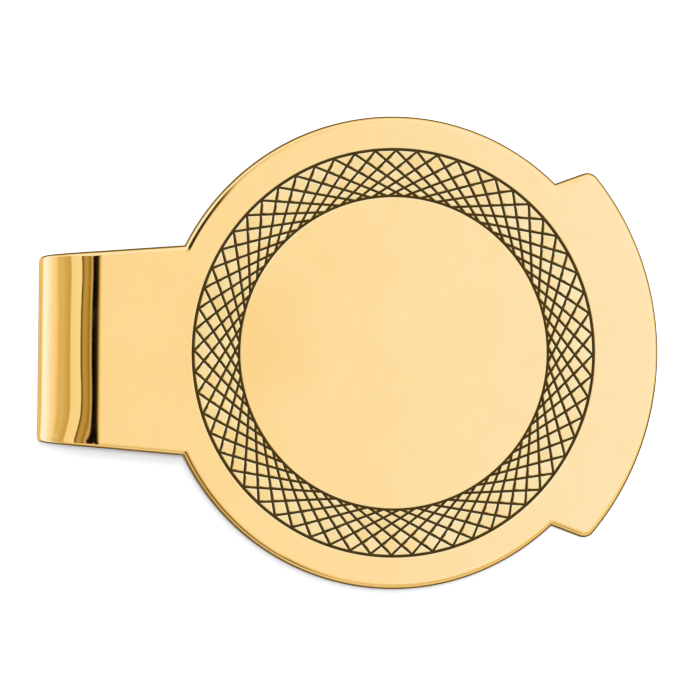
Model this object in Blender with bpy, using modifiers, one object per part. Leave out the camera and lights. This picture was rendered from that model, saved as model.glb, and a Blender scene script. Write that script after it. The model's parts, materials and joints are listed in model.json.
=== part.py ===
"""Money clip: a round engraved front leaf and a spring tongue, folded from one tapering strip.

The front leaf is a disc with a thumb tab on its right and a neck on its left. The neck folds
under through a round bend and runs back as a tongue that presses against the leaf's underside.
The clip is drawn with its front leaf level, then laid down the way it rests on a table:
on the bend and on the rim of the thumb tab, face up.
"""

import math

import bmesh
import bpy
from mathutils import Vector

# Sheet, in metres
SHEET_THICKNESS = 0.0009
EDGE_RADIUS = 0.0003
SEAM_GAP = 0.0003  # left between neighbouring pieces of the strip
PINCH_GAP = 0.0003  # left between the leaf and the tongue where they meet

# Front leaf, with the disc's centre at x = 0
DISC_RADIUS = 0.0200
NECK_CORNER_ANGLE = math.radians(153.7)  # where the neck leaves the disc
NECK_END_X = -0.0251  # where the strip starts to bend
STRIP_TAPER = 0.0785  # half width lost per metre along the strip
TAB_ARC_RADIUS = 0.0237
TAB_ARC_CENTRE_X = -0.0009
TAB_NOTCH_ANGLE = math.radians(46.4)  # where the thumb tab leaves the disc
TAB_EDGE_ANGLE = math.radians(20.1)  # slope of the tab's straight upper edge
TAB_CORNER_RADIUS = 0.0010

# Engraved band around the disc's plain centre
BAND_OUTER_RADIUS = 0.01736
BAND_INNER_RADIUS = 0.01317
BAND_DEPTH = 0.00020
FILL_THICKNESS = 0.00012
FILL_CLEARANCE = 0.00004

# Bend and tongue
BEND_OUTER_RADIUS = 0.0046
TONGUE_RISE = math.radians(15.5)  # the tongue climbs back to the leaf at this slope
CREST_RADIUS = 0.022  # bow of the tongue where it presses
TIP_FLARE = math.radians(14.0)  # the tip turns away from the leaf by this much

# Facets
ARC_STEP = math.radians(3.5)
CORNER_STEPS = 4
BAND_STEPS = 120

HALF_SHEET = SHEET_THICKNESS / 2
BEND_RADIUS = BEND_OUTER_RADIUS - HALF_SHEET  # of the sheet's middle
NECK_CORNER_X = DISC_RADIUS * math.cos(NECK_CORNER_ANGLE)
NECK_CORNER_HALF_WIDTH = DISC_RADIUS * math.sin(NECK_CORNER_ANGLE)
TAB_TIP_X = TAB_ARC_CENTRE_X + TAB_ARC_RADIUS
BEND_CENTRE = Vector((NECK_END_X, 0.0, -BEND_OUTER_RADIUS))
SEAM_ANGLE = SEAM_GAP / (BEND_OUTER_RADIUS - SHEET_THICKNESS)
# A round bend that opens evenly turns the tongue about the centroid of its half circle.
FLEX_AXIS = BEND_CENTRE - Vector((2 * BEND_RADIUS / math.pi, 0.0, 0.0))

GOLD = (0.93, 0.70, 0.30, 1.0)
DARK_FILL = (0.055, 0.035, 0.012, 1.0)


def clear_scene():
    for obj in list(bpy.data.objects):
        bpy.data.objects.remove(obj, do_unlink=True)


def new_collection(name):
    collection = bpy.data.collections.new(name)
    bpy.context.scene.collection.children.link(collection)
    return collection


def make_material(name, colour, roughness, metallic):
    material = bpy.data.materials.new(name)
    material.use_nodes = True
    shader = material.node_tree.nodes["Principled BSDF"]
    shader.inputs["Base Color"].default_value = colour
    shader.inputs["Roughness"].default_value = roughness
    shader.inputs["Metallic"].default_value = metallic
    material.diffuse_color = colour
    return material


def polished_gold(name):
    return make_material(name, GOLD, roughness=0.12, metallic=1.0)


def smooth(mesh):
    mesh.shade_smooth()
    mesh.set_sharp_from_angle(angle=math.radians(32))


# ---------------------------------------------------------------- outline of the front leaf


def arc_points(centre_x, centre_y, radius, start, end):
    """Points on an arc from start to end, both included, no more than ARC_STEP apart."""
    steps = max(2, math.ceil(abs(end - start) / ARC_STEP))
    angles = [start + (end - start) * i / steps for i in range(steps + 1)]
    return [
        (centre_x + radius * math.cos(a), centre_y + radius * math.sin(a)) for a in angles
    ]


def strip_half_width(distance):
    """Half width of the strip at a distance along it from the disc."""
    return NECK_CORNER_HALF_WIDTH - STRIP_TAPER * distance


def tab_corner():
    """Centre of the rounded corner between the tab's straight edge and its arc."""
    notch = Vector((math.cos(TAB_NOTCH_ANGLE), math.sin(TAB_NOTCH_ANGLE))) * DISC_RADIUS
    along = Vector((math.cos(TAB_EDGE_ANGLE), math.sin(TAB_EDGE_ANGLE)))
    inward = Vector((along.y, -along.x))
    start = notch + inward * TAB_CORNER_RADIUS - Vector((TAB_ARC_CENTRE_X, 0.0))
    reach = TAB_ARC_RADIUS - TAB_CORNER_RADIUS
    slope = start.dot(along)
    distance = -slope + math.sqrt(slope**2 - start.length_squared + reach**2)
    return start + along * distance + Vector((TAB_ARC_CENTRE_X, 0.0))


def upper_outline():
    """The leaf's upper edge, from the neck's end round the disc and the tab to the tab's tip."""
    neck_reach = NECK_CORNER_X - NECK_END_X + 4 * SEAM_GAP
    points = [(NECK_CORNER_X - neck_reach, strip_half_width(neck_reach))]
    points += arc_points(0, 0, DISC_RADIUS, NECK_CORNER_ANGLE, TAB_NOTCH_ANGLE)
    corner = tab_corner()
    arc_start = math.atan2(corner.y, corner.x - TAB_ARC_CENTRE_X)
    points += arc_points(
        corner.x, corner.y, TAB_CORNER_RADIUS, TAB_EDGE_ANGLE + math.pi / 2, arc_start
    )
    points += arc_points(TAB_ARC_CENTRE_X, 0, TAB_ARC_RADIUS, arc_start, 0)[1:]
    return points


def filled_outline(name, points):
    """A flat plate with rounded rims, its top face at z = 0, as a mesh object."""
    curve = bpy.data.curves.new(name, "CURVE")
    curve.dimensions = "2D"
    curve.fill_mode = "BOTH"
    curve.extrude = HALF_SHEET - EDGE_RADIUS
    curve.bevel_depth = EDGE_RADIUS
    curve.bevel_resolution = 2
    curve.offset = -EDGE_RADIUS
    spline = curve.splines.new("POLY")
    spline.points.add(len(points) - 1)
    for target, (x, y) in zip(spline.points, points):
        target.co = (x, y, 0.0, 1.0)
    spline.use_cyclic_u = True
    drawn = bpy.data.objects.new(name + "_outline", curve)
    bpy.context.scene.collection.objects.link(drawn)
    graph = bpy.context.evaluated_depsgraph_get()
    mesh = bpy.data.meshes.new_from_object(drawn.evaluated_get(graph))
    bpy.data.objects.remove(drawn)
    bpy.data.curves.remove(curve)
    work = bmesh.new()
    work.from_mesh(mesh)
    bmesh.ops.remove_doubles(work, verts=work.verts, dist=1e-7)
    bmesh.ops.translate(work, verts=work.verts, vec=(0.0, 0.0, -HALF_SHEET))
    bmesh.ops.recalc_face_normals(work, faces=work.faces)
    work.to_mesh(mesh)
    work.free()
    return bpy.data.objects.new(name, mesh)


# ---------------------------------------------------------------- turned rings and cutters


def turned_ring(name, inner, outer, bottom, top):
    """A flat ring about the disc's axis, from a rectangular profile."""
    mesh = bpy.data.meshes.new(name)
    profile = [(outer, top), (outer, bottom), (inner, bottom), (inner, top)]
    mesh.from_pydata([(x, 0.0, z) for x, z in profile], [(0, 1), (1, 2), (2, 3), (3, 0)], [])
    ring = bpy.data.objects.new(name, mesh)
    screw = ring.modifiers.new("Turn", "SCREW")
    screw.steps = BAND_STEPS
    screw.render_steps = BAND_STEPS
    screw.use_merge_vertices = True
    screw.merge_threshold = 0.00001
    return ring


def box(name, low, high):
    """A box between two corners, as a mesh object."""
    mesh = bpy.data.meshes.new(name)
    work = bmesh.new()
    bmesh.ops.create_cube(work, size=1.0)
    for vertex in work.verts:
        vertex.co = [
            low[i] + (vertex.co[i] + 0.5) * (high[i] - low[i]) for i in range(3)
        ]
    work.to_mesh(mesh)
    work.free()
    return bpy.data.objects.new(name, mesh)


def cut(target, cutter, cutters):
    cutters.objects.link(cutter)
    cutter.hide_render = True
    cutter.display_type = "WIRE"
    modifier = target.modifiers.new("Cut " + cutter.name, "BOOLEAN")
    modifier.operation = "DIFFERENCE"
    modifier.solver = "EXACT"
    modifier.object = cutter


# ---------------------------------------------------------------- the folded strip


def section(half_width):
    """The strip's rounded rectangle, as (across, outward) pairs."""
    points = []
    for side, face in ((1, 1), (-1, 1), (-1, -1), (1, -1)):
        middle = math.atan2(face, side)
        for i in range(CORNER_STEPS + 1):
            angle = middle - math.pi / 4 + i * math.pi / 2 / CORNER_STEPS
            across = side * (half_width - EDGE_RADIUS) + EDGE_RADIUS * math.cos(angle)
            outward = face * (HALF_SHEET - EDGE_RADIUS) + EDGE_RADIUS * math.sin(angle)
            points.append((across, outward))
    return points


def loft_strip(name, stations):
    """A solid strip through stations of (middle point, outward normal, half width)."""
    work = bmesh.new()
    rings = []
    for middle, normal, half_width in stations:
        rings.append(
            [
                work.verts.new(middle + Vector((0.0, across, 0.0)) + normal * outward)
                for across, outward in section(half_width)
            ]
        )
    count = len(rings[0])
    for near, far in zip(rings, rings[1:]):
        for i in range(count):
            j = (i + 1) % count
            work.faces.new((near[i], near[j], far[j], far[i]))
    work.faces.new(rings[0])
    work.faces.new(rings[-1])
    bmesh.ops.recalc_face_normals(work, faces=work.faces)
    mesh = bpy.data.meshes.new(name)
    work.to_mesh(mesh)
    work.free()
    return bpy.data.objects.new(name, mesh)


def bend_station(angle):
    """The strip at an angle round the bend: 90 degrees on the leaf, 270 at the bottom."""
    outward = Vector((math.cos(angle), 0.0, math.sin(angle)))
    travelled = NECK_CORNER_X - NECK_END_X + (angle - math.pi / 2) * BEND_RADIUS
    return BEND_CENTRE + outward * BEND_RADIUS, outward, strip_half_width(travelled)


def bend_half(name, start, end):
    steps = math.ceil((end - start) / (2 * ARC_STEP))
    angles = [start + (end - start) * i / steps for i in range(steps + 1)]
    return loft_strip(name, [bend_station(a) for a in angles])


def tongue_stations():
    """The tongue: a straight climb, then a bowed crest that ends in a flared, rounded tip."""
    fold_end = math.radians(270) + TONGUE_RISE
    start, _, _ = bend_station(fold_end)
    before = NECK_CORNER_X - NECK_END_X + (fold_end - math.pi / 2) * BEND_RADIUS
    crest_z = -SHEET_THICKNESS - PINCH_GAP - HALF_SHEET
    crest_rise = CREST_RADIUS * (1 - math.cos(TONGUE_RISE))
    climb = (crest_z - crest_rise - start.z) / math.sin(TONGUE_RISE)
    forward = Vector((math.cos(TONGUE_RISE), 0.0, math.sin(TONGUE_RISE)))
    crest_centre = start + forward * climb
    crest_centre.x += CREST_RADIUS * math.sin(TONGUE_RISE)
    crest_centre.z = crest_z - CREST_RADIUS
    length = climb + CREST_RADIUS * (TONGUE_RISE + TIP_FLARE)
    tip_radius = strip_half_width(before + length) / (1 - STRIP_TAPER)
    round_start = length - tip_radius

    def station(distance, half_width):
        if distance < climb:
            middle = start + forward * distance
            slope = TONGUE_RISE
        else:
            slope = TONGUE_RISE - (distance - climb) / CREST_RADIUS
            lift = Vector((-math.sin(slope), 0.0, math.cos(slope)))
            middle = crest_centre + lift * CREST_RADIUS
        return middle, Vector((math.sin(slope), 0.0, -math.cos(slope))), half_width

    straight = [SEAM_GAP + (climb - SEAM_GAP) * i / 6 for i in range(7)]
    crest_steps = 8
    crest = [climb + (round_start - climb) * i / crest_steps for i in range(1, crest_steps + 1)]
    stations = [station(d, strip_half_width(before + d)) for d in straight + crest]
    tip_steps = 9
    for i in range(1, tip_steps + 1):
        angle = math.radians(80) * i / tip_steps
        stations.append(
            station(round_start + tip_radius * math.sin(angle), tip_radius * math.cos(angle))
        )
    return stations


# ---------------------------------------------------------------- the pieces


def make_face_plate(cutters):
    """Disc, neck and thumb tab in one flat leaf, with the engraved band sunk into its face."""
    upper = upper_outline()
    lower = [(x, -y) for x, y in reversed(upper[:-1])]
    plate = filled_outline("face_plate", upper + lower)
    reach = 0.010
    end_x = NECK_END_X + SEAM_GAP
    cut(plate, box("neck_end_cutter", (end_x - reach, -reach, -reach), (end_x, reach, reach)), cutters)
    band = turned_ring(
        "band_cutter", BAND_INNER_RADIUS, BAND_OUTER_RADIUS, -BAND_DEPTH, BAND_DEPTH
    )
    cut(plate, band, cutters)
    return plate


def make_engraving_fill():
    """The dark fill of the engraving, as one thin ring just below the face."""
    bottom = -BAND_DEPTH + FILL_CLEARANCE
    return turned_ring(
        "engraving_fill",
        BAND_INNER_RADIUS + FILL_CLEARANCE,
        BAND_OUTER_RADIUS - FILL_CLEARANCE,
        bottom,
        bottom + FILL_THICKNESS,
    )


def make_bend_front():
    return bend_half("bend_front", math.pi / 2, math.pi - SEAM_ANGLE / 2)


def make_bend_rear():
    return bend_half(
        "bend_rear", math.pi + SEAM_ANGLE / 2, math.radians(270) + TONGUE_RISE
    )


def make_spring_tongue():
    return loft_strip("spring_tongue", tongue_stations())


# ---------------------------------------------------------------- assembly


def rest_tilt():
    """Slope of the leaf when the bend and the tab's lower rim both touch the table."""
    run = TAB_TIP_X - EDGE_RADIUS - BEND_CENTRE.x
    rise = EDGE_RADIUS - SHEET_THICKNESS - BEND_CENTRE.z
    span = math.hypot(run, rise)
    return math.atan2(rise, run) + math.asin((BEND_OUTER_RADIUS - EDGE_RADIUS) / span)


def add_empty(name, parent, location):
    empty = bpy.data.objects.new(name, None)
    empty.empty_display_size = 0.005
    empty.location = location
    empty.parent = parent
    bpy.context.scene.collection.objects.link(empty)
    return empty


def place(obj, parent, offset, collection, material):
    collection.objects.link(obj)
    obj.parent = parent
    obj.location = -offset
    obj.data.materials.clear()
    obj.data.materials.append(material)
    smooth(obj.data)


def set_down(clip, pieces):
    """Moves the clip so that it stands on z = 0 with its bounding box centred over the origin."""
    bpy.context.view_layer.update()
    graph = bpy.context.evaluated_depsgraph_get()
    corners = []
    for piece in pieces:
        evaluated = piece.evaluated_get(graph)
        mesh = evaluated.to_mesh()
        corners += [evaluated.matrix_world @ vertex.co for vertex in mesh.vertices]
        evaluated.to_mesh_clear()
    low = [min(corner[i] for corner in corners) for i in range(3)]
    high = [max(corner[i] for corner in corners) for i in range(3)]
    clip.location -= Vector(((low[0] + high[0]) / 2, (low[1] + high[1]) / 2, low[2]))
    bpy.context.view_layer.update()


def main():
    clear_scene()
    parts = new_collection("money_clip")
    cutters = new_collection("cutters")
    clip = add_empty("clip_frame", None, (0.0, 0.0, 0.0))
    clip.rotation_euler.y = rest_tilt()
    flex = add_empty("flex_axis", clip, FLEX_AXIS)

    level = Vector((0.0, 0.0, 0.0))
    face_plate = make_face_plate(cutters)
    place(face_plate, clip, level, parts, polished_gold("face_gold"))
    for cutter in cutters.objects:
        cutter.parent = clip
    engraving_fill = make_engraving_fill()
    fill_black = make_material("engraving_black", DARK_FILL, roughness=0.55, metallic=0.0)
    place(engraving_fill, clip, level, parts, fill_black)
    bend_front = make_bend_front()
    place(bend_front, clip, level, parts, polished_gold("bend_front_gold"))
    bend_rear = make_bend_rear()
    place(bend_rear, flex, FLEX_AXIS, parts, polished_gold("bend_rear_gold"))
    spring_tongue = make_spring_tongue()
    place(spring_tongue, flex, FLEX_AXIS, parts, polished_gold("tongue_gold"))
    set_down(clip, [face_plate, engraving_fill, bend_front, bend_rear, spring_tongue])


main()
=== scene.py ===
import json
import math

import bmesh
import bpy
from mathutils import Matrix, Vector
from mathutils.geometry import delaunay_2d_cdt


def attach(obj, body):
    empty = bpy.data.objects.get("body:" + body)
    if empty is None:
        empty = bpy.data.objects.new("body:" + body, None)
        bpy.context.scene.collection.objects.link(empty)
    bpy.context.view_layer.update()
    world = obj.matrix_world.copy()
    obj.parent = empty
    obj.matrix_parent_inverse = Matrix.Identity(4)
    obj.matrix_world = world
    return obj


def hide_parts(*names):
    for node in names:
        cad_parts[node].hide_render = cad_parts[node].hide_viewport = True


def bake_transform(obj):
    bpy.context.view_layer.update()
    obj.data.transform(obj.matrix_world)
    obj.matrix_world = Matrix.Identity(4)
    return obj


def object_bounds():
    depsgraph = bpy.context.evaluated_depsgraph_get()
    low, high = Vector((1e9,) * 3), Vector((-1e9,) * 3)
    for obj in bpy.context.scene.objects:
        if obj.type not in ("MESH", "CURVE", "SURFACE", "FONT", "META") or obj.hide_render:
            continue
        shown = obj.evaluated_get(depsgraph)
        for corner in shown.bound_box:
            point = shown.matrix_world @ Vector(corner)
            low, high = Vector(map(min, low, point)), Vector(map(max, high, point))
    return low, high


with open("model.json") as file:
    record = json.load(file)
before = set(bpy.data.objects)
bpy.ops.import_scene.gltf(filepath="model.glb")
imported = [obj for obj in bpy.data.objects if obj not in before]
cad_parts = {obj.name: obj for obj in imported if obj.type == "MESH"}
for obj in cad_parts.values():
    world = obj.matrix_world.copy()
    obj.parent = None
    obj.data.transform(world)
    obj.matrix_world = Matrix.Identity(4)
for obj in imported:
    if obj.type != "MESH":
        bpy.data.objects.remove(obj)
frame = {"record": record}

CAD_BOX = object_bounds()
MM = 0.001

# ---------------------------------------------------------------- sizes, in millimetres
# The leaf is drawn in its own frame: origin at the disc's centre on the face, +X to the tab.

SHEET = 0.9
RIM = 0.30  # rounding of every rim
FACE_SUPPORT = 0.58  # the face is exactly flat from here inwards
SHOULDER = 0.52  # the face starts to fall off softly here
SHOULDER_SLOPE = 0.17
CRISP_EDGE, MIXED_EDGE, SOFT_EDGE = 0.25, 0.5, 1.0  # shares of that fall
BACK_SUPPORT = 0.36
FACE_ROWS, RIM_ROWS, BACK_ROWS = 10, 12, 10
POLISHED, PAINTED_SHADE_CORNER, PAINTED_SHADE_SIDE = range(3)  # what a rim's rows are made of: polished gold, or dark brown painted shade on the corner and the cut side
CORNER_ROW = {CRISP_EDGE: 6, MIXED_EDGE: 5, SOFT_EDGE: 5}  # the rougher, worn polish and the painted shade start here
SIDE_ROW = 10  # the cut side, in darker painted shade, starts here
# On the back the cut side and then the corner carry the painted shade, up to the polished rows
BACK_CORNER_ROW, BACK_POLISHED_ROW = 2, 5

# By the upper corner of the neck the face rolls off, with these (inset, slope) towards the rim
ROLL = ((0.50, 0.0), (0.47, 0.10), (0.26, 0.18), (0.22, 0.32), (0.20, 0.40))
ROLL_SPAN = (134.5, 146.5)  # degrees round the disc
ROLL_GROWTH = 0.35

DISC_RADIUS = 19.992
NECK_CORNER = math.radians(153.7)
NECK_END_X = -25.1
STRIP_TAPER = 0.0785
TAB_ARC_RADIUS = 23.69
TAB_ARC_X = -0.9
TAB_NOTCH = math.radians(46.4)
TAB_SLOPE = math.radians(20.1)
TAB_TIP_RADIUS = 1.0

BEND_RADIUS = 4.6  # outer
STRAIGHT = 0.5  # the bend piece starts and ends with this much straight strip
TONGUE_RISE = math.radians(15.5)
PINCH_GAP = 0.3
CREST_RADIUS = 22.0
TIP_FLARE = math.radians(14.0)
TIP_ROUND = math.radians(87.0)  # the tongue's round end stops short of a full quarter
LEAST_HALF_WIDTH = RIM * 1.6  # room for both rims

# Engraving: 15 squares in one circle, turned in 6 degree steps, make 60 chords
CHORDS = 60
CHORD_DISTANCE = 12.13
HALF_CHORD_STEP = math.radians(3.0)
LINE_HALF = 0.108
BAND_OUTER = 17.36
BAND_OUTER_LAND = 17.10
BAND_INNER_LAND = 13.39
BAND_INNER = 13.17
LAND_ROWS = range(8, 16)  # the crossings whose lands lie between the two circles
LAND_BEVEL = 0.045
LAND_BEVELS = ((LAND_BEVEL, 0.06), (0.016, 0.004))  # (bevel, least area of the flat top)
LAND_BEVEL_DROP = 0.019
LAND_DROP = 0.0025
LAND_TILT = 0.006
LAND_ARC_STEP = 0.35
LEAST_SIDE = 0.012
GROOVE_DEPTH = 0.10
WALL_RUN = 0.012
FILL_TOP = 0.020
FILL_CLEARANCE = 0.002
FILL_LIFT = 0.004
CIRCLE_STEPS = 360

SHARP_ANGLE = math.radians(32.0)
ARC_STEP = math.radians(1.5)
TIP_ARC_STEPS = 9
NECK_STEPS = 8
TAB_EDGE_STEPS = 4
CORNER_SUPPORT = 0.03  # extra points this near a sharp corner keep its shading crisp
BEND_STEPS = 104
CLIMB_STEPS, CREST_STEPS, TONGUE_TIP_STEPS = 8, 16, 26
ACROSS_STEPS = 30

HALF = SHEET / 2
NECK_CORNER_X = DISC_RADIUS * math.cos(NECK_CORNER)
NECK_CORNER_Y = DISC_RADIUS * math.sin(NECK_CORNER)
LEAF_END_X = NECK_END_X + STRAIGHT
BEND_MIDDLE = BEND_RADIUS - HALF
TAPER_STRETCH = math.hypot(1.0, STRIP_TAPER)


def leaf_frame():
    """The matrix from the leaf's millimetres to the row frame."""
    mount = next(m for m in frame["record"]["mounts"] if m["name"] == "front_field")
    normal = Vector(mount["axis"]).normalized()
    across = Vector((0.0, 1.0, 0.0))
    along = across.cross(normal)
    turned = Matrix((along, across, normal)).transposed().to_4x4()
    return Matrix.Translation(Vector(mount["pos_m"])) @ turned @ Matrix.Scale(MM, 4)


LEAF = leaf_frame()


# ---------------------------------------------------------------- mesh helpers


def new_object(name, work, materials, crisp=()):
    """An object in the row frame from a bmesh drawn in the leaf's millimetres."""
    work.edges.index_update()
    marked = {edge.index for face in crisp for edge in face.edges}
    mesh = bpy.data.meshes.new(name)
    work.to_mesh(mesh)
    work.free()
    mesh.transform(LEAF)
    for material in materials:
        mesh.materials.append(material)
    mesh.shade_smooth()
    mesh.set_sharp_from_angle(angle=SHARP_ANGLE)
    for index in marked:
        mesh.edges[index].use_edge_sharp = True
    obj = bpy.data.objects.new(name, mesh)
    bpy.context.scene.collection.objects.link(obj)
    return obj


def eased(x, start, end):
    """0 up to start, 1 from end on and smooth between them."""
    x = min(1.0, max(0.0, (x - start) / (end - start)))
    return x * x * (3.0 - 2.0 * x)


def direction(angle):
    return Vector((math.cos(angle), math.sin(angle)))


def ring_points(radius, z):
    angles = [2 * math.pi * i / CIRCLE_STEPS for i in range(CIRCLE_STEPS)]
    return [Vector((radius * math.cos(a), radius * math.sin(a), z)) for a in angles]


def add_loop(work, points):
    return [work.verts.new(p) for p in points]


def bridge(work, near, far, closed, material=0):
    """Quads between two vertex rows of the same length."""
    count = len(near)
    for i in range(count if closed else count - 1):
        j = (i + 1) % count
        face = work.faces.new((near[i], near[j], far[j], far[i]))
        face.material_index = material[i] if isinstance(material, list) else material


def fill_region(work, outer, holes, material=0):
    """Triangles over a flat region: outer and holes are anticlockwise loops of vertices."""
    loops = [outer] + holes
    verts = [v for loop in loops for v in loop]
    coords = [Vector((v.co.x, v.co.y)) for v in verts]
    faces = []
    start = 0
    for loop in loops:
        faces.append(list(range(start, start + len(loop))))
        start += len(loop)
    found = delaunay_2d_cdt(coords, [], faces, 1, 1e-6)
    out_faces, from_verts, from_faces = found[2], found[3], found[5]
    source = [verts[ids[0]] if ids else None for ids in from_verts]
    made = []
    for face, inside in zip(out_faces, from_faces):
        if list(inside) != [0]:
            continue
        corners = [source[i] for i in face]
        if None in corners:
            raise RuntimeError("the fill made a point of its own")
        if len(set(corners)) < 3:
            continue
        made.append(work.faces.new(corners))
        made[-1].material_index = material
    return made


# ---------------------------------------------------------------- outline of the leaf


def strip_half_width(distance):
    return NECK_CORNER_Y - STRIP_TAPER * distance


def arc(centre_x, centre_y, radius, start, end, steps=None):
    steps = steps or max(2, math.ceil(abs(end - start) / ARC_STEP))
    return [
        Vector((
            centre_x + radius * math.cos(start + (end - start) * i / steps),
            centre_y + radius * math.sin(start + (end - start) * i / steps),
        ))
        for i in range(steps + 1)
    ]


def tab_corner():
    """The centre of the round between the tab's straight edge and its arc."""
    notch = direction(TAB_NOTCH) * DISC_RADIUS
    along = direction(TAB_SLOPE)
    inward = Vector((along.y, -along.x))
    start = notch + inward * TAB_TIP_RADIUS - Vector((TAB_ARC_X, 0.0))
    reach = TAB_ARC_RADIUS - TAB_TIP_RADIUS
    slope = start.dot(along)
    distance = -slope + math.sqrt(slope**2 - start.length_squared + reach**2)
    return start + along * distance + Vector((TAB_ARC_X, 0.0))


def split_line(a, b, steps):
    """The points between two ends."""
    return [a + (b - a) * i / steps for i in range(1, steps)]


def leaf_outline():
    """The open outline from the upper end of the neck round to the lower end."""
    neck_start = Vector((LEAF_END_X, strip_half_width(NECK_CORNER_X - LEAF_END_X)))
    neck_corner = Vector((NECK_CORNER_X, NECK_CORNER_Y))
    points = [neck_start] + split_line(neck_start, neck_corner, NECK_STEPS)
    points.append(neck_corner + (neck_start - neck_corner).normalized() * CORNER_SUPPORT)
    points.append(neck_corner)
    support_angle = CORNER_SUPPORT / DISC_RADIUS
    disc = arc(0, 0, DISC_RADIUS, NECK_CORNER, TAB_NOTCH)
    points.append(direction(NECK_CORNER - support_angle) * DISC_RADIUS)
    points += disc[1:-1]
    points.append(direction(TAB_NOTCH + support_angle) * DISC_RADIUS)
    notch = disc[-1]
    points.append(notch)
    corner = tab_corner()
    tip_end = math.atan2(corner.y, corner.x - TAB_ARC_X)
    tip = arc(corner.x, corner.y, TAB_TIP_RADIUS, TAB_SLOPE + math.pi / 2, tip_end, TIP_ARC_STEPS)
    points.append(notch + (tip[0] - notch).normalized() * CORNER_SUPPORT)
    points += split_line(notch, tip[0], TAB_EDGE_STEPS)
    points += tip
    points += arc(TAB_ARC_X, 0, TAB_ARC_RADIUS, tip_end, 0)[1:]
    lower = [Vector((p.x, -p.y)) for p in reversed(points[:-1])]
    return points + lower


def inward_mitres(points):
    """For each outline point, the step inwards that moves both its edges by one."""
    count = len(points)
    normals = []
    for a, b in zip(points, points[1:]):
        run = (b - a).normalized()
        normals.append(Vector((run.y, -run.x)))
    mitres = []
    for i in range(count):
        if i == 0:
            mitres.append(Vector((0.0, -TAPER_STRETCH)))
        elif i == count - 1:
            mitres.append(Vector((0.0, TAPER_STRETCH)))
        else:
            m, n = normals[i - 1], normals[i]
            mitres.append((m + n) / (1.0 + m.dot(n)))
    return mitres


def roll_weight(point):
    """How far the face rolls off towards the rim: most by the upper corner of the neck."""
    on_disc = abs(point.length - DISC_RADIUS) < 0.01
    if point.y <= 0 or not on_disc:
        return 0.0
    angle = math.degrees(math.atan2(point.y, point.x))
    return eased(angle, *ROLL_SPAN) ** ROLL_GROWTH


def softness(point):
    """The disc's upper side and the tab's keep a crisper edge than the rest."""
    on_neck = point.x < NECK_CORNER_X - 0.02
    upper_side = point.y > -2.0
    lower_left = math.degrees(math.atan2(point.y, point.x)) < -118.0
    if on_neck:
        return SOFT_EDGE
    if upper_side:
        return CRISP_EDGE
    return MIXED_EDGE if lower_left else SOFT_EDGE


def rim_profile(roll=0.0, soft=SOFT_EDGE):
    """(inset, height, kind) over a rim, from the flat face round to the flat back."""

    def slope(inset):
        gentle = soft * SHOULDER_SLOPE * max(0.0, SHOULDER - inset) / (SHOULDER - RIM)
        steep = 0.0
        for (far, low), (near, high) in zip(ROLL, ROLL[1:]):
            if near <= inset <= far:
                steep = low + (high - low) * (far - inset) / (far - near)
        return gentle + (steep - gentle) * roll

    rim = RIM + (ROLL[-1][0] - RIM) * roll
    start = FACE_SUPPORT + (ROLL[0][0] - FACE_SUPPORT) * roll
    rows = [(start, 0.0, POLISHED)]
    height = 0.0
    for i in range(1, FACE_ROWS):
        inset = start + (rim - start) * i / FACE_ROWS
        before = rows[-1][0]
        height -= (before - inset) * (slope(before) + slope(inset)) / 2
        rows.append((inset, height, POLISHED))
    height -= (rows[-1][0] - rim) * (slope(rows[-1][0]) + slope(rim)) / 2
    lean = math.atan(slope(rim))
    for i in range(RIM_ROWS + 1):
        angle = lean + (math.pi / 2 - lean) * i / RIM_ROWS
        inset = rim * (1 - math.sin(angle)) / (1 - math.sin(lean))
        drop = rim * (math.cos(lean) - math.cos(angle))
        kind = POLISHED if i < CORNER_ROW[soft] else PAINTED_SHADE_CORNER if i < SIDE_ROW else PAINTED_SHADE_SIDE
        rows.append((inset, height - drop, kind))
    for i in range(BACK_ROWS + 1):
        angle = math.pi / 2 * i / BACK_ROWS
        height = -SHEET + RIM * (1 - math.sin(angle))
        kind = PAINTED_SHADE_SIDE if i < BACK_CORNER_ROW else PAINTED_SHADE_CORNER if i < BACK_POLISHED_ROW else POLISHED
        rows.append((RIM * (1 - math.cos(angle)), height, kind))
    rows.append((BACK_SUPPORT, -SHEET, POLISHED))
    return rows


# ---------------------------------------------------------------- lands between the engraved lines


def clip(polygon, normal, limit):
    """The part of a convex polygon where point . normal <= limit."""
    kept = []
    for i, a in enumerate(polygon):
        b = polygon[(i + 1) % len(polygon)]
        sa, sb = a.dot(normal) - limit, b.dot(normal) - limit
        if sa <= 0:
            kept.append(a)
        if (sa < 0 < sb) or (sb < 0 < sa):
            kept.append(a + (b - a) * (sa / (sa - sb)))
    return kept


def area_of(polygon):
    return 0.5 * sum(
        a.x * b.y - b.x * a.y for a, b in zip(polygon, polygon[1:] + polygon[:1])
    )


def without_short_sides(polygon):
    kept = []
    for point in polygon:
        if not kept or (point - kept[-1]).length > LEAST_SIDE:
            kept.append(point)
    while len(kept) > 1 and (kept[0] - kept[-1]).length <= LEAST_SIDE:
        kept.pop()
    return kept


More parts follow.
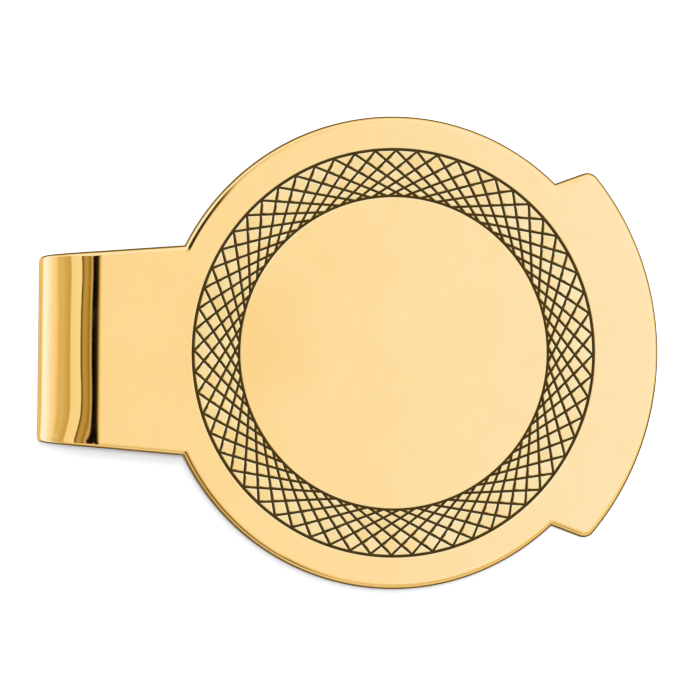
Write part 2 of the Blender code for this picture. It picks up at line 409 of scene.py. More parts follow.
def land_outline(row, centre, bevel, least_area):
    """The flat top of one land, as a convex outline, or None if the lines leave too little."""
    edge = LINE_HALF + bevel
    outer = BAND_OUTER_LAND - bevel
    inner = BAND_INNER_LAND + bevel
    axis = direction(centre)
    middle = axis * 15.2  # of the band, roughly: the square round it is wider than any land
    polygon = [middle + Vector(c) * 4.0 for c in ((-1, -1), (1, -1), (1, 1), (-1, 1))]
    for side in (-1, 1):
        beyond = direction(centre + side * (row + 1) * HALF_CHORD_STEP)
        before = direction(centre + side * (row - 1) * HALF_CHORD_STEP)
        polygon = clip(polygon, beyond, CHORD_DISTANCE - edge)
        polygon = clip(polygon, -before, -(CHORD_DISTANCE + edge))
    polygon = clip(polygon, axis, outer)
    polygon = clip(polygon, -axis, -inner)
    polygon = without_short_sides(polygon)
    if len(polygon) < 3 or area_of(polygon) < least_area:
        return None

    def lies_on(point, limit):
        return abs(point.dot(axis) - limit) < 1e-6

    straight = []
    for a, b in zip(polygon, polygon[1:] + polygon[:1]):
        straight.append(a)
        for limit in (outer, inner):
            if lies_on(a, limit) and lies_on(b, limit):
                straight += split_line(a, b, max(1, round((b - a).length / LAND_ARC_STEP)))
    curved = []
    for point in straight:
        for limit in (outer, inner):
            if lies_on(point, limit):
                point = point.normalized() * limit
        curved.append(point)
    return curved


def grown(polygon, distance):
    """A convex outline with every edge moved outwards."""
    count = len(polygon)
    out = []
    for i in range(count):
        before = (polygon[i] - polygon[i - 1]).normalized()
        after = (polygon[(i + 1) % count] - polygon[i]).normalized()
        m, n = Vector((before.y, -before.x)), Vector((after.y, -after.x))
        out.append(polygon[i] + (m + n) / (1.0 + m.dot(n)) * distance)
    return out


def lands():
    """Every land between the crossing lines, as (outline, bevel)."""
    found = []
    for row in LAND_ROWS:
        offset = HALF_CHORD_STEP if row % 2 else 0.0
        for k in range(CHORDS):
            centre = offset + 2 * math.pi * k / CHORDS
            for bevel, least_area in LAND_BEVELS:
                outline = land_outline(row, centre, bevel, least_area)
                if outline:
                    found.append((outline, bevel))
                    break
    return found


LANDS = lands()


def hashed(i, salt):
    """A fixed pseudo-random number from -1 to 1."""
    value = math.sin(i * 12.9898 + salt * 78.233) * 43758.5453
    return 2.0 * (value - math.floor(value)) - 1.0


# ---------------------------------------------------------------- pieces


def make_leaf(materials):
    """Disc, neck and thumb tab, with rounded rims and the engraved lines cut into the face."""
    # corner and side are the rims' dark brown painted shade
    # the bevel gold is paler than the face as painted highlight
    gold, land_gold, bevel_gold_painted_highlight, groove, corner, side = range(6)
    work = bmesh.new()
    outline = leaf_outline()
    mitres = inward_mitres(outline)
    profiles = [rim_profile(roll_weight(p), softness(p)) for p in outline]
    rows = []
    for level in range(len(profiles[0])):
        rows.append(add_loop(work, [
            Vector((*(point + mitre * profile[level][0]), profile[level][1]))
            for point, mitre, profile in zip(outline, mitres, profiles)
        ]))
    for level, (near, far) in enumerate(zip(rows, rows[1:])):
        kinds = [(gold, corner, side)[profile[level][2]] for profile in profiles]
        bridge(work, near, far, closed=False, material=kinds)
    work.faces.new([row[0] for row in rows] + [row[-1] for row in reversed(rows)])
    work.faces.new(rows[-1])

    face_edge = add_loop(work, ring_points(BAND_OUTER + LAND_BEVEL, 0.0))
    face_lip = add_loop(work, ring_points(BAND_OUTER, -LAND_BEVEL_DROP))
    face_foot = add_loop(work, ring_points(BAND_OUTER - WALL_RUN, -GROOVE_DEPTH))
    face = fill_region(work, rows[0][::-1], [face_edge], gold)
    bridge(work, face_edge, face_lip, True, bevel_gold_painted_highlight)
    bridge(work, face_lip, face_foot, True, groove)

    centre_edge = add_loop(work, ring_points(BAND_INNER - LAND_BEVEL, 0.0))
    centre_lip = add_loop(work, ring_points(BAND_INNER, -LAND_BEVEL_DROP))
    centre_foot = add_loop(work, ring_points(BAND_INNER + WALL_RUN, -GROOVE_DEPTH))
    centre = work.faces.new(centre_edge)
    bridge(work, centre_edge, centre_lip, True, bevel_gold_painted_highlight)
    bridge(work, centre_lip, centre_foot, True, groove)

    feet = []
    crisp = [centre]
    for number, (outline, bevel) in enumerate(LANDS):
        middle = sum(outline, Vector((0.0, 0.0))) / len(outline)
        tilt = Vector((hashed(number, 1), hashed(number, 2))) * LAND_TILT

        def lifted(point, drop):
            return Vector((point.x, point.y, (point - middle).dot(tilt) - drop))

        base = grown(outline, bevel + WALL_RUN)
        top = add_loop(work, [lifted(p, LAND_DROP) for p in outline])
        lip = add_loop(work, [lifted(p, LAND_BEVEL_DROP) for p in grown(outline, bevel)])
        foot = add_loop(work, [Vector((*p, -GROOVE_DEPTH)) for p in base])
        flat = work.faces.new(top)
        flat.material_index = land_gold
        crisp.append(flat)
        bridge(work, top, lip, True, bevel_gold_painted_highlight)
        bridge(work, lip, foot, True, groove)
        feet.append(foot)
    fill_region(work, face_foot, [centre_foot] + feet, groove)
    bmesh.ops.recalc_face_normals(work, faces=work.faces)
    return new_object("front_leaf", work, materials, crisp + face)


def make_fill(material):
    """The dark fill of the engraving: a lattice of lines between two circles."""
    share = (FILL_TOP - LAND_BEVEL_DROP) / (GROOVE_DEPTH - LAND_BEVEL_DROP)
    work = bmesh.new()
    levels = []
    for height, run in (
        (-FILL_TOP, WALL_RUN * share + FILL_CLEARANCE),
        (-GROOVE_DEPTH + FILL_LIFT, WALL_RUN + FILL_CLEARANCE),
    ):
        outer = add_loop(work, ring_points(BAND_OUTER - run, height))
        inner = add_loop(work, ring_points(BAND_INNER + run, height))
        holes = [
            add_loop(work, [Vector((*p, height)) for p in grown(outline, bevel + run)])
            for outline, bevel in LANDS
        ]
        fill_region(work, outer, [inner] + holes)
        levels.append([outer, inner] + holes)
    for near, far in zip(*levels):
        bridge(work, near, far, True)
    bmesh.ops.recalc_face_normals(work, faces=work.faces)
    return new_object("engraved_lines", work, [material])


def strip_section(half_width):
    """The strip's rounded outline as (across, outward, kind), with outward from its middle."""
    rim = [
        (half_width - inset * TAPER_STRETCH, HALF + height, kind)
        for inset, height, kind in rim_profile()
    ]

    def between(reach):
        return [
            reach * math.sin(math.pi / 2 * (2 * i / ACROSS_STEPS - 1))
            for i in range(1, ACROSS_STEPS)
        ]

    face = [(y, HALF, POLISHED) for y in between(rim[0][0])]
    back = [(-y, -HALF, POLISHED) for y in between(rim[-1][0])]
    mirrored = [
        (-y, o, before[2])
        for (y, o, _), before in zip(reversed(rim), list(reversed(rim))[1:] + [rim[0]])
    ]
    return face + rim + back + mirrored


def loft(name, stations, materials):
    """A closed strip through stations of (middle, outward, half width, bulge).

    bulge(across, half_width) moves a point of the section outwards.
    """
    work = bmesh.new()
    rows = []
    for middle, outward, half_width, bulge in stations:
        section = strip_section(half_width)
        rows.append(add_loop(work, [
            middle + Vector((0.0, y, 0.0)) + outward * (o + bulge(y, half_width))
            for y, o, _ in section
        ]))
    for near, far in zip(rows, rows[1:]):
        for i, (_, _, kind) in enumerate(section):
            j = (i + 1) % len(section)
            work.faces.new((near[i], near[j], far[j], far[i])).material_index = kind
    work.faces.new(rows[0]).material_index = PAINTED_SHADE_SIDE
    work.faces.new(rows[-1]).material_index = PAINTED_SHADE_SIDE
    bmesh.ops.recalc_face_normals(work, faces=work.faces)
    return new_object(name, work, materials)


def no_bulge(across, half_width):
    return 0.0


LEVEL_ANGLE = math.pi / 2 + math.atan2(LEAF[0][2], LEAF[2][2])  # where the bend's face is level
BEND_CENTRE = Vector((NECK_END_X, 0.0, -BEND_RADIUS))
BEND_END = math.radians(270) + TONGUE_RISE

# How the strip's lower edge strays from the round: (degrees past level, mm outwards per radian)
STRAY = (
    (-9.0, 0.0), (-5.0, -0.30), (-1.5, 0.0), (5.0, 0.52), (38.0, 0.52),
    (46.0, 0.05), (54.0, -0.42), (80.0, -0.56), (100.0, 0.0),
)
LOWER_EDGE, LOWER_REACH, LOWER_FADE = 0.2, 2.4, 1.3
UPPER_SHARE, UPPER_REACH = 0.35, 0.32  # the upper edge strays less and over less width
DENTS = ((0.045, -0.50, 0.27), (0.04, 0.80, 0.30))  # (depth, place across, width)
DENT_SPAN = (-10.0, 60.0)  # degrees past level
TRIM = 0.010  # keeps the bend inside the box of the faceted CAD model
TRIM_IN, TRIM_OUT = (-8.5, -2.5), (150.0, 170.0)  # degrees past level


def stray(phi):
    total = 0.0
    for (start, low), (end, high) in zip(STRAY, STRAY[1:]):
        if phi <= start:
            break
        upto = min(phi, end)
        at = low + (high - low) * (upto - start) / (end - start)
        total += math.radians(upto - start) * (low + at) / 2
    return total


def end_bulge(angle):
    """The edges of the bend stay flat at first and turn later than its middle."""
    phi = math.degrees(angle - LEVEL_ANGLE)
    outwards = stray(phi)
    dented = math.sin(math.pi * eased(phi, *DENT_SPAN))
    trim = TRIM * eased(phi, *TRIM_IN) * (1 - eased(phi, *TRIM_OUT))
    reach = max(abs(math.cos(math.radians(phi))), abs(math.sin(math.radians(phi))))
    ceiling = 0.98 * BEND_RADIUS * (1 / reach - 1)  # just inside the round's bounding square

    def bulge(across, half_width):
        from_edge = max(0.0, across + half_width - LOWER_EDGE)
        lower = max(0.0, 1 - from_edge / LOWER_REACH) ** LOWER_FADE
        upper = UPPER_SHARE * math.exp(-(half_width - across) / UPPER_REACH)
        place = across / half_width
        dent = sum(depth * math.exp(-(((place - at) / width) ** 2)) for depth, at, width in DENTS)
        return min(ceiling, outwards * (lower + upper) - dent * dented) - trim

    return bulge


def make_bend(materials):
    """The round between the leaf and the tongue, with a little straight strip at each end."""
    up = Vector((0.0, 0.0, 1.0))
    stations = []
    for distance in (STRAIGHT, STRAIGHT / 2):
        x = NECK_END_X + distance
        middle = Vector((x, 0.0, -HALF))
        stations.append((middle, up, strip_half_width(NECK_CORNER_X - x), no_bulge))
    for i in range(BEND_STEPS + 1):
        angle = math.pi / 2 + (BEND_END - math.pi / 2) * i / BEND_STEPS
        outward = Vector((math.cos(angle), 0.0, math.sin(angle)))
        middle = BEND_CENTRE + outward * BEND_MIDDLE
        travelled = NECK_CORNER_X - NECK_END_X + (angle - math.pi / 2) * BEND_MIDDLE
        stations.append((middle, outward, strip_half_width(travelled), end_bulge(angle)))
    forward = Vector((-outward.z, 0.0, outward.x))
    for distance in (STRAIGHT / 2, STRAIGHT):
        half_width = strip_half_width(travelled + distance)
        stations.append((middle + forward * distance, outward, half_width, no_bulge))
    return loft("spring_bend", stations, materials)


def make_tongue(materials):
    """A straight climb back to the leaf, then a bowed crest and a flared, rounded tip."""
    outward = Vector((math.cos(BEND_END), 0.0, math.sin(BEND_END)))
    start = BEND_CENTRE + outward * BEND_MIDDLE
    before = NECK_CORNER_X - NECK_END_X + (BEND_END - math.pi / 2) * BEND_MIDDLE
    crest_z = -SHEET - PINCH_GAP - HALF
    crest_rise = CREST_RADIUS * (1 - math.cos(TONGUE_RISE))
    climb = (crest_z - crest_rise - start.z) / math.sin(TONGUE_RISE)
    forward = Vector((math.cos(TONGUE_RISE), 0.0, math.sin(TONGUE_RISE)))
    crest = start + forward * climb
    crest.x += CREST_RADIUS * math.sin(TONGUE_RISE)
    crest.z = crest_z - CREST_RADIUS
    length = climb + CREST_RADIUS * (TONGUE_RISE + TIP_FLARE)
    tip_radius = strip_half_width(before + length) / (1 - STRIP_TAPER)
    round_start = length - tip_radius

    def station(distance, half_width):
        if distance < climb:
            middle, slope = start + forward * distance, TONGUE_RISE
        else:
            slope = TONGUE_RISE - (distance - climb) / CREST_RADIUS
            middle = crest + Vector((-math.sin(slope), 0.0, math.cos(slope))) * CREST_RADIUS
        return middle, Vector((math.sin(slope), 0.0, -math.cos(slope))), half_width, no_bulge

    distances = [STRAIGHT + (climb - STRAIGHT) * i / CLIMB_STEPS for i in range(CLIMB_STEPS + 1)]
    distances += split_line(climb, round_start, CREST_STEPS) + [round_start]
    stations = [station(d, strip_half_width(before + d)) for d in distances]
    for i in range(1, TONGUE_TIP_STEPS + 1):
        angle = TIP_ROUND * math.sin(math.pi / 2 * i / TONGUE_TIP_STEPS)
        half_width = max(LEAST_HALF_WIDTH, tip_radius * math.cos(angle))
        stations.append(station(round_start + tip_radius * math.sin(angle), half_width))
    return loft("tongue_strip", stations, materials)


# ---------------------------------------------------------------- materials


GOLD = (1.0, 0.68, 0.28)
GOLD_DEEP = (0.97, 0.60, 0.20)
GLANCE = (1.0, 0.80, 0.48)  # what the metal turns to at a glancing view
# the glancing colour of the rims' painted shade, darkened with it
PAINTED_SHADE_GLANCE = (0.60, 0.46, 0.24)
PAINTED_SHADE_CENTRE = Vector((-12.6, 0.6, 0.0))  # of the patch painted deeper gold as painted shade, in the leaf's frame
PAINTED_SHADE_FROM, PAINTED_SHADE_TO = 0.5 * MM, 8.5 * MM


def node(tree, kind, **inputs):
    """A node with values on its inputs, where From_Min stands for the input From Min."""
    made = tree.nodes.new(kind)
    for name, value in inputs.items():
        made.inputs[name.replace("_", " ")].default_value = value
    return made


def mapped(tree, value, kind="LINEAR", **inputs):
    """A value through a Map Range node."""
    made = node(tree, "ShaderNodeMapRange", **inputs)
    made.interpolation_type = kind
    tree.links.new(value, made.inputs["Value"])
    return made.outputs["Result"]


def noise(tree, place, scale, detail, roughness=0.5):
    made = node(tree, "ShaderNodeTexNoise", Scale=scale, Detail=detail, Roughness=roughness)
    tree.links.new(place, made.inputs["Vector"])
    return made.outputs["Fac"]


def mixed_colour(tree, factor, a, b):
    """A colour between two, each a plain colour or another node's output."""
    made = tree.nodes.new("ShaderNodeMix")
    made.data_type = "RGBA"
    tree.links.new(factor, made.inputs["Factor"])
    for colour, socket in ((a, made.inputs["A"]), (b, made.inputs["B"])):
        if isinstance(colour, tuple):
            socket.default_value = (*colour, 1.0)
        else:
            tree.links.new(colour, socket)
    return made.outputs["Result"]


def math_node(tree, operation, *values):
    made = tree.nodes.new("ShaderNodeMath")
    made.operation = operation
    for value, socket in zip(values, made.inputs):
        if isinstance(value, (int, float)):
            socket.default_value = value
        else:
            tree.links.new(value, socket)
    return made.outputs["Value"]


def bump(tree, height, strength, distance, below=None):
    made = node(tree, "ShaderNodeBump", Strength=strength, Distance=distance)
    tree.links.new(height, made.inputs["Height"])
    if below:
        tree.links.new(below, made.inputs["Normal"])
    return made.outputs["Normal"]


def colour_ramp(tree, value, low, high, stops):
    """A colour from stops of (value, colour), rising from low to high."""
    made = tree.nodes.new("ShaderNodeValToRGB")
    elements = made.color_ramp.elements
    while len(elements) < len(stops):
        elements.new(0.5)
    for element, (at, colour) in zip(elements, stops):
        element.position = (at - low) / (high - low)
        element.color = (*colour, 1.0)
    tree.links.new(mapped(tree, value, From_Min=low, From_Max=high), made.inputs["Fac"])
    return made.outputs["Color"]


def new_material(name):
    """The material's tree, its shader and the place on the object."""
    material = bpy.data.materials.new(name)
    material.use_nodes = True
    tree = material.node_tree
    place = tree.nodes.new("ShaderNodeTexCoord").outputs["Object"]
    return material, tree, tree.nodes["Principled BSDF"], place


def gold_material(name, base, deep, roughness, wear, tarnish, glancing=GLANCE, painted_shade_patch=0.0):
    """Polished gold plate: faint colour drift, uneven polish, hairlines and a slightly wavy face, and
    optionally one soft patch painted deeper gold as painted shade.
    """
    material, tree, shader, place = new_material(name)
    shader.inputs["Metallic"].default_value = 1.0
    shader.inputs["Specular Tint"].default_value = (*glancing, 1.0)

    drift = noise(tree, place, scale=210.0, detail=3.0, roughness=0.55)
    amount = mapped(tree, drift, From_Min=0.32, From_Max=0.70, To_Max=tarnish)
    if painted_shade_patch:  # one soft patch of the face is painted deeper gold: painted shade standing in for a darker reflection
        away = tree.nodes.new("ShaderNodeVectorMath")
        away.operation = "DISTANCE"
        away.inputs[1].default_value = LEAF @ PAINTED_SHADE_CENTRE
        tree.links.new(place, away.inputs[0])
        patch = mapped(
            tree, away.outputs["Value"], "SMOOTHSTEP",
            From_Min=PAINTED_SHADE_FROM, From_Max=PAINTED_SHADE_TO, To_Min=painted_shade_patch, To_Max=0.0,
        )
        amount = math_node(tree, "ADD", amount, patch)
    tree.links.new(mixed_colour(tree, amount, base, deep), shader.inputs["Base Color"])

    brushed = tree.nodes.new("ShaderNodeMapping")
    brushed.inputs["Rotation"].default_value = (0.0, 0.0, 0.35)
    brushed.inputs["Scale"].default_value = (260.0, 9000.0, 260.0)
    tree.links.new(place, brushed.inputs["Vector"])
    hairs = noise(tree, brushed.outputs["Vector"], scale=1.0, detail=4.0, roughness=0.7)
    lines = mapped(tree, hairs, From_Min=0.60, From_Max=0.80)
    cloud = noise(tree, place, scale=520.0, detail=5.0, roughness=0.6)
    polish = mapped(
        tree, cloud,
        From_Min=0.35, From_Max=0.75, To_Min=roughness, To_Max=roughness + 0.05 + 0.05 * wear,
    )
    scuffed = math_node(tree, "MULTIPLY_ADD", lines, 0.06 * wear, polish)
    tree.links.new(scuffed, shader.inputs["Roughness"])

    swell = noise(tree, place, scale=130.0, detail=2.0, roughness=0.4)
    wavy = bump(tree, swell, strength=1.0, distance=0.000012)
    scratched = bump(tree, hairs, strength=0.35, distance=0.0000006 * (0.4 + wear), below=wavy)
    tree.links.new(scratched, shader.inputs["Normal"])
    return material


def dark_material(name, light, dark, metallic, roughness):
    """Antique fill: mottled brown with a satin, slightly grainy surface."""
    material, tree, shader, place = new_material(name)
    shader.inputs["Metallic"].default_value = metallic
    shader.inputs["Specular IOR Level"].default_value = 0.06
    mottle = noise(tree, place, scale=1500.0, detail=4.0, roughness=0.65)
    tree.links.new(mixed_colour(tree, mottle, dark, light), shader.inputs["Base Color"])
    uneven = mapped(tree, mottle, To_Min=roughness - 0.1, To_Max=roughness + 0.1)
    tree.links.new(uneven, shader.inputs["Roughness"])
    grain = noise(tree, place, scale=9000.0, detail=3.0)
    tree.links.new(bump(tree, grain, strength=0.5, distance=0.000008), shader.inputs["Normal"])
    return material


# ---------------------------------------------------------------- studio


def linear(r, g, b):
    """The light of a screen colour."""
    def one(v):
        v /= 255.0
        return v / 12.92 if v <= 0.04045 else ((v + 0.055) / 1.055) ** 2.4

    return Vector((one(r), one(g), one(b)))


def seen_as(r, g, b, gain=1.0):
    """The light that the gold reflects as this screen colour."""
    wanted = linear(r, g, b)
    return tuple(gain * wanted[i] / GOLD[i] for i in range(3))


PAPER = 1.32  # the floor is lit brighter than white
AMBIENT = (0.86, 0.86, 0.88)


class Studio:
    """The surroundings as cards, placed by two angles from overhead: towards +X and towards +Y."""

    def __init__(self):
        world = bpy.data.worlds.new("studio")
        bpy.context.scene.world = world
        world.use_nodes = True
        self.tree = world.node_tree
        self.tree.nodes.clear()
        place = self.tree.nodes.new("ShaderNodeTexCoord")
        parts = self.tree.nodes.new("ShaderNodeSeparateXYZ")
        self.tree.links.new(place.outputs["Generated"], parts.inputs["Vector"])
        self.x_angle = self.degrees("ARCTAN2", parts.outputs["X"], parts.outputs["Z"])
        self.y_angle = self.degrees("ARCSINE", parts.outputs["Y"])
        self.rise = self.degrees("ARCSINE", parts.outputs["Z"])
        self.colour = None

    def degrees(self, operation, *values):
        radians = math_node(self.tree, operation, *values)
        return math_node(self.tree, "MULTIPLY", radians, 180.0 / math.pi)

    def ramp(self, angle, low, high, stops):
        """A colour from stops of (angle, colour) along one of the angles."""
        return colour_ramp(self.tree, angle, low, high, stops)

    def edge(self, angle, off, on):
        """0 before off and 1 after on, where on may lie on either side of off."""
        low, high = sorted((off, on))
        before, after = (1.0, 0.0) if on < off else (0.0, 1.0)
        return mapped(
            self.tree, angle, "SMOOTHSTEP",
            From_Min=low, From_Max=high, To_Min=before, To_Max=after,
        )

    def card(self, colour, x=None, y=None, rise=None):
        """Lays a colour over what is there. Each span is (off, on, on, off) in degrees."""
        masks = []
        for angle, span in ((self.x_angle, x), (self.y_angle, y), (self.rise, rise)):
            if span:
                masks += [self.edge(angle, span[0], span[1]), self.edge(angle, span[3], span[2])]
        mask = masks[0]
        for other in masks[1:]:
            mask = math_node(self.tree, "MULTIPLY", mask, other)
        self.colour = mixed_colour(self.tree, mask, self.colour, colour)

    def finish(self, plain):
        """The cards show in polished surfaces. Everything else is lit by one even colour."""
        path = self.tree.nodes.new("ShaderNodeLightPath")
        colour = mixed_colour(self.tree, path.outputs["Is Glossy Ray"], plain, self.colour)
        paper = (PAPER, PAPER, PAPER)
        colour = mixed_colour(self.tree, path.outputs["Is Camera Ray"], colour, paper)
        light = self.tree.nodes.new("ShaderNodeBackground")
        self.tree.links.new(colour, light.inputs["Color"])
        out = self.tree.nodes.new("ShaderNodeOutputWorld")
        self.tree.links.new(light.outputs["Background"], out.inputs["Surface"])


def light_studio():
    studio = Studio()
    # The room from left to right overhead, as the bend shows it
    studio.colour = studio.ramp(studio.x_angle, -95.0, 20.0, [
        (-90.0, seen_as(254, 212, 138)),
        (-83.0, seen_as(250, 204, 118)),
        (-78.0, seen_as(236, 190, 104)),
        (-74.0, seen_as(220, 174, 88)),
        (-67.0, seen_as(224, 178, 92)),
        (-61.0, seen_as(217, 171, 85)),
        (-52.0, seen_as(205, 158, 72)),
        (-48.2, seen_as(203, 157, 72)),
        (-46.4, seen_as(250, 208, 126)),
        (-36.0, seen_as(251, 211, 131)),
        (-27.0, seen_as(253, 214, 134)),
        (-25.3, seen_as(255, 216, 134)),
        (-24.6, seen_as(80, 52, 6)),
        (-23.2, seen_as(80, 52, 8)),
        (-21.4, seen_as(160, 118, 44)),
        (-19.0, seen_as(186, 142, 58)),
        (-15.0, seen_as(190, 144, 58)),
        (-11.0, seen_as(178, 134, 50)),
        (-8.4, seen_as(158, 115, 38)),
        (-6.4, seen_as(160, 116, 40)),
        (-4.8, seen_as(186, 142, 60)),
        (-2.8, seen_as(218, 172, 92)),
        (-1.6, seen_as(190, 140, 70)),
        (-0.6, seen_as(20, 10, 4)),
        (1.0, seen_as(2, 2, 2)),
        (3.5, seen_as(10, 9, 4)),
        (6.2, seen_as(33, 27, 11)),
        (8.3, seen_as(74, 54, 19)),
        (10.4, seen_as(130, 94, 36)),
        (12.6, seen_as(190, 145, 64)),
        (15.2, seen_as(229, 183, 95)),
        (17.4, seen_as(254, 214, 140)),
    ])
    # Beyond the stripes the room is plain: brighter on the far side, with a dim gap on the near one
    far_side = studio.ramp(studio.y_angle, 0.0, 90.0, [
        (0.0, seen_as(254, 224, 160)),
        (16.0, seen_as(254, 230, 172)),
        (26.0, seen_as(255, 236, 190)),
        (40.0, seen_as(254, 228, 164)),
        (90.0, seen_as(252, 220, 148)),
    ])
    studio.card(far_side, y=(13, 18, 200, 201))
    near_side = studio.ramp(studio.y_angle, -90.0, 0.0, [
        (-90.0, seen_as(240, 205, 140)),
        (-45.0, seen_as(238, 203, 132)),
        (-30.0, seen_as(224, 180, 102)),
        (-20.0, seen_as(230, 184, 104)),
        (-12.0, seen_as(250, 212, 132)),
        (-5.0, seen_as(254, 217, 142)),
    ])
    studio.card(near_side, x=(16.4, 17.2, 199, 200), y=(-201, -200, -10, -6))
    studio.card(near_side, x=(-200, -199, 16.4, 17.2), y=(-201, -200, -34, -28))
    right = studio.ramp(studio.x_angle, 15.0, 95.0, [
        (17.4, seen_as(254, 214, 140)),
        (18.7, seen_as(254, 216, 143)),
        (19.3, seen_as(254, 218, 148)),
        (20.1, seen_as(255, 222, 160)),
        (20.7, seen_as(255, 227, 172)),
        (21.1, seen_as(255, 229, 180)),
        (21.6, seen_as(255, 231, 186)),
        (23.0, seen_as(255, 233, 189)),
        (35.0, seen_as(254, 226, 160)),
        (46.0, seen_as(255, 238, 195, 1.1)),
        (70.0, seen_as(255, 230, 165, 1.05)),
        (86.0, seen_as(240, 196, 115)),
        (95.0, seen_as(250, 225, 150)),
    ])
    studio.card(right, x=(17.4, 17.5, 179, 180), y=(-12, -6, 12, 18))
    # Low down the room is warm, since metal seen at a slant mirrors it without its own colour
    far_wall = studio.ramp(studio.rise, 0.0, 40.0, [
        (0.0, (0.86, 0.68, 0.42)),
        (6.0, (0.94, 0.77, 0.50)),
        (14.0, (1.04, 0.88, 0.60)),
        (24.0, (1.04, 0.94, 0.72)),
        (34.0, (1.04, 1.0, 0.84)),
    ])
    near_wall = studio.ramp(studio.rise, 0.0, 40.0, [
        (0.0, (0.62, 0.42, 0.17)),
        (6.0, (0.74, 0.52, 0.24)),
        (14.0, (0.88, 0.68, 0.38)),
        (24.0, (0.96, 0.82, 0.56)),
        (34.0, (1.0, 0.94, 0.78)),
    ])
    studio.card(far_wall, y=(14, 34, 90, 91), rise=(-91, -90, 16, 34))
    studio.card(near_wall, y=(-91, -90, -52, -36), rise=(-91, -90, 16, 34))
    studio.card(far_wall, x=(30, 60, 150, 180), rise=(-91, -90, 16, 34))
    studio.finish(AMBIENT)


KEY_DISTANCE = 0.85


def add_key_light(name, width, depth, energy, lean):
    """A softbox almost overhead, leaning to the far side, that polished metal doesn't mirror."""
    light = bpy.data.lights.new(name, "AREA")
    light.shape = "ELLIPSE"
    light.size = width
    light.size_y = depth
    light.energy = energy
    light.color = (0.96, 0.97, 1.0)
    key = bpy.data.objects.new(name, light)
    towards = Vector((0.0, lean, 1.0)).normalized()
    key.location = towards * KEY_DISTANCE
    key.rotation_mode = "QUATERNION"
    key.rotation_quaternion = towards.to_track_quat("Z", "Y")
    key.visible_glossy = False
    bpy.context.scene.collection.objects.link(key)


FLOOR_RADIUS = 3.0
FLOOR_GAP = 0.00001
PAINTED_REFLECTION_SPAN = (-0.10, 0.0)  # metres along X


def add_floor():
    """White paper. Glossy rays see it glow with a painted reflection instead: cream by the clip with a
    darker band of painted contact shadow just beside it, fading to gold far off.
    """
    work = bmesh.new()
    bmesh.ops.create_circle(work, cap_ends=True, segments=64, radius=FLOOR_RADIUS)
    mesh = bpy.data.meshes.new("floor")
    work.to_mesh(mesh)
    work.free()
    floor = bpy.data.objects.new("floor", mesh)
    floor.location.z = CAD_BOX[0].z - FLOOR_GAP
    material = bpy.data.materials.new("floor_white_painted_reflection")
    material.use_nodes = True
    tree = material.node_tree
    tree.nodes.clear()
    place = tree.nodes.new("ShaderNodeTexCoord")
    parts = tree.nodes.new("ShaderNodeSeparateXYZ")
    tree.links.new(place.outputs["Object"], parts.inputs["Vector"])
    painted_reflection = colour_ramp(tree, parts.outputs["X"], *PAINTED_REFLECTION_SPAN, [
        (-0.099, seen_as(254, 216, 143)),
        (-0.061, seen_as(255, 224, 169)),
        (-0.0426, seen_as(253, 238, 199)),
        (-0.0371, seen_as(255, 243, 208, 1.06)),
        (-0.0336, seen_as(255, 243, 208, 1.06)),
        (-0.0322, seen_as(255, 228, 178)),
        # Darker band just beside the clip: painted contact shadow
        (-0.0312, seen_as(238, 192, 104)),
        (-0.0292, seen_as(238, 190, 100)),
        (-0.0278, seen_as(240, 200, 130)),
        (-0.0200, seen_as(240, 205, 140)),
    ])
    paper = node(tree, "ShaderNodeBsdfDiffuse", Color=(0.90, 0.90, 0.90, 1.0))
    # The glow that glossy rays see in place of the lit paper is painted reflection
    mirrored = tree.nodes.new("ShaderNodeEmission")
    tree.links.new(painted_reflection, mirrored.inputs["Color"])
    path = tree.nodes.new("ShaderNodeLightPath")
    either = tree.nodes.new("ShaderNodeMixShader")
    tree.links.new(path.outputs["Is Glossy Ray"], either.inputs["Fac"])
    tree.links.new(paper.outputs["BSDF"], either.inputs[1])
    tree.links.new(mirrored.outputs["Emission"], either.inputs[2])
    out = tree.nodes.new("ShaderNodeOutputMaterial")
    tree.links.new(either.outputs["Shader"], out.inputs["Surface"])
    mesh.materials.append(material)
    floor.is_shadow_catcher = True
    bpy.context.scene.collection.objects.link(floor)
    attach(floor, "rear")  # the spring side stays on the table when the clip is opened


CAMERA_HEIGHT = 1.0
CAMERA_SHIFT = Vector((-3.716, 0.198, 0.0)) * MM  # from the disc's centre
CAMERA_TURN = math.radians(0.675)
VIEW_WIDTH = 59.2869 * MM  # at the disc


def add_camera():
    """Straight above, turned a little, as the photograph was taken."""
    camera = bpy.data.cameras.new("camera")
    camera.sensor_width = 36.0
    camera.lens = camera.sensor_width * CAMERA_HEIGHT / VIEW_WIDTH
    camera.clip_start = 0.01
    camera.clip_end = 10.0
    obj = bpy.data.objects.new("camera", camera)
    obj.location = LEAF.translation + CAMERA_SHIFT + Vector((0.0, 0.0, CAMERA_HEIGHT))
    obj.rotation_euler = (0.0, 0.0, CAMERA_TURN)
    bpy.context.scene.collection.objects.link(obj)
    bpy.context.scene.camera = obj


# ---------------------------------------------------------------- assembly


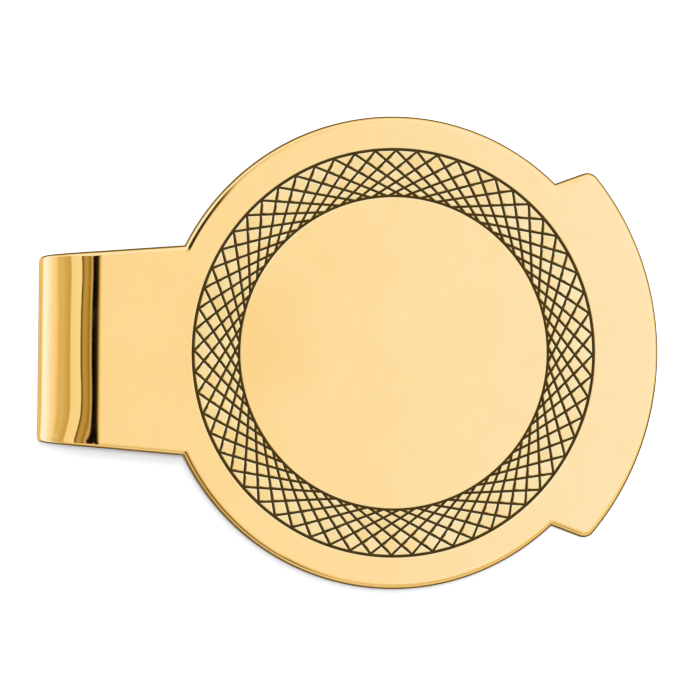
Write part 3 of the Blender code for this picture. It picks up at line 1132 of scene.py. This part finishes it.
def main():
    scene = bpy.context.scene
    scene.view_settings.view_transform = "Standard"
    scene.view_settings.look = "None"

    # The face carries a soft patch painted deeper gold: painted shade
    gold = gold_material(
        "gold_face", GOLD, GOLD_DEEP, roughness=0.06, wear=0.4, tarnish=0.2, painted_shade_patch=0.55,
    )
    land = gold_material(
        "gold_land", (1.0, 0.73, 0.33), (0.98, 0.65, 0.23), roughness=0.11, wear=0.6, tarnish=0.9,
    )
    # Paler gold on the engraving's bevels is painted highlight, to make their glints cream
    edge = gold_material(
        "gold_cut_edge_painted_highlight", (1.0, 0.86, 0.48), (1.0, 0.80, 0.40), roughness=0.15, wear=0.4, tarnish=0.4,
    )
    bend_gold = gold_material("gold_bend", GOLD, GOLD_DEEP, roughness=0.035, wear=0.3, tarnish=0.2)
    tongue_gold = gold_material("gold_tongue", GOLD, GOLD_DEEP, roughness=0.11, wear=1.0, tarnish=0.35)
    # Dark brown on the rims' corners and cut sides is painted shade of the shadowed floor they mirror;
    # the rougher polish is wear
    corner = gold_material(
        "gold_corner_painted_shade", (0.27, 0.165, 0.045), (0.17, 0.10, 0.025),
        roughness=0.24, wear=0.8, tarnish=0.8, glancing=PAINTED_SHADE_GLANCE,
    )
    side = gold_material(
        "gold_cut_side_painted_shade", (0.46, 0.28, 0.08), (0.34, 0.20, 0.05),
        roughness=0.26, wear=0.8, tarnish=0.8, glancing=PAINTED_SHADE_GLANCE,
    )
    fill = dark_material(
        "engraving_fill", (0.070, 0.036, 0.004), (0.018, 0.008, 0.0006), metallic=0.0, roughness=0.55,
    )
    groove = dark_material(
        "groove_wall", (0.10, 0.06, 0.015), (0.03, 0.018, 0.004), metallic=0.4, roughness=0.4,
    )

    leaf = make_leaf([gold, land, edge, groove, corner, side])
    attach(leaf, "front")
    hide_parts("face_plate")

    lines = make_fill(fill)
    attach(lines, "front")
    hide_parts("engraving_fill")

    bend = make_bend([bend_gold, corner, side])
    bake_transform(bend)
    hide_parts("bend_front", "bend_rear")

    tongue = make_tongue([tongue_gold, corner, side])
    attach(tongue, "rear")
    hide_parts("spring_tongue")

    light_studio()
    add_key_light("key", width=0.03, depth=0.034, energy=2.6, lean=0.021)
    add_key_light("soft_key", width=0.08, depth=0.13, energy=2.7, lean=0.088)
    add_floor()
    add_camera()


main()
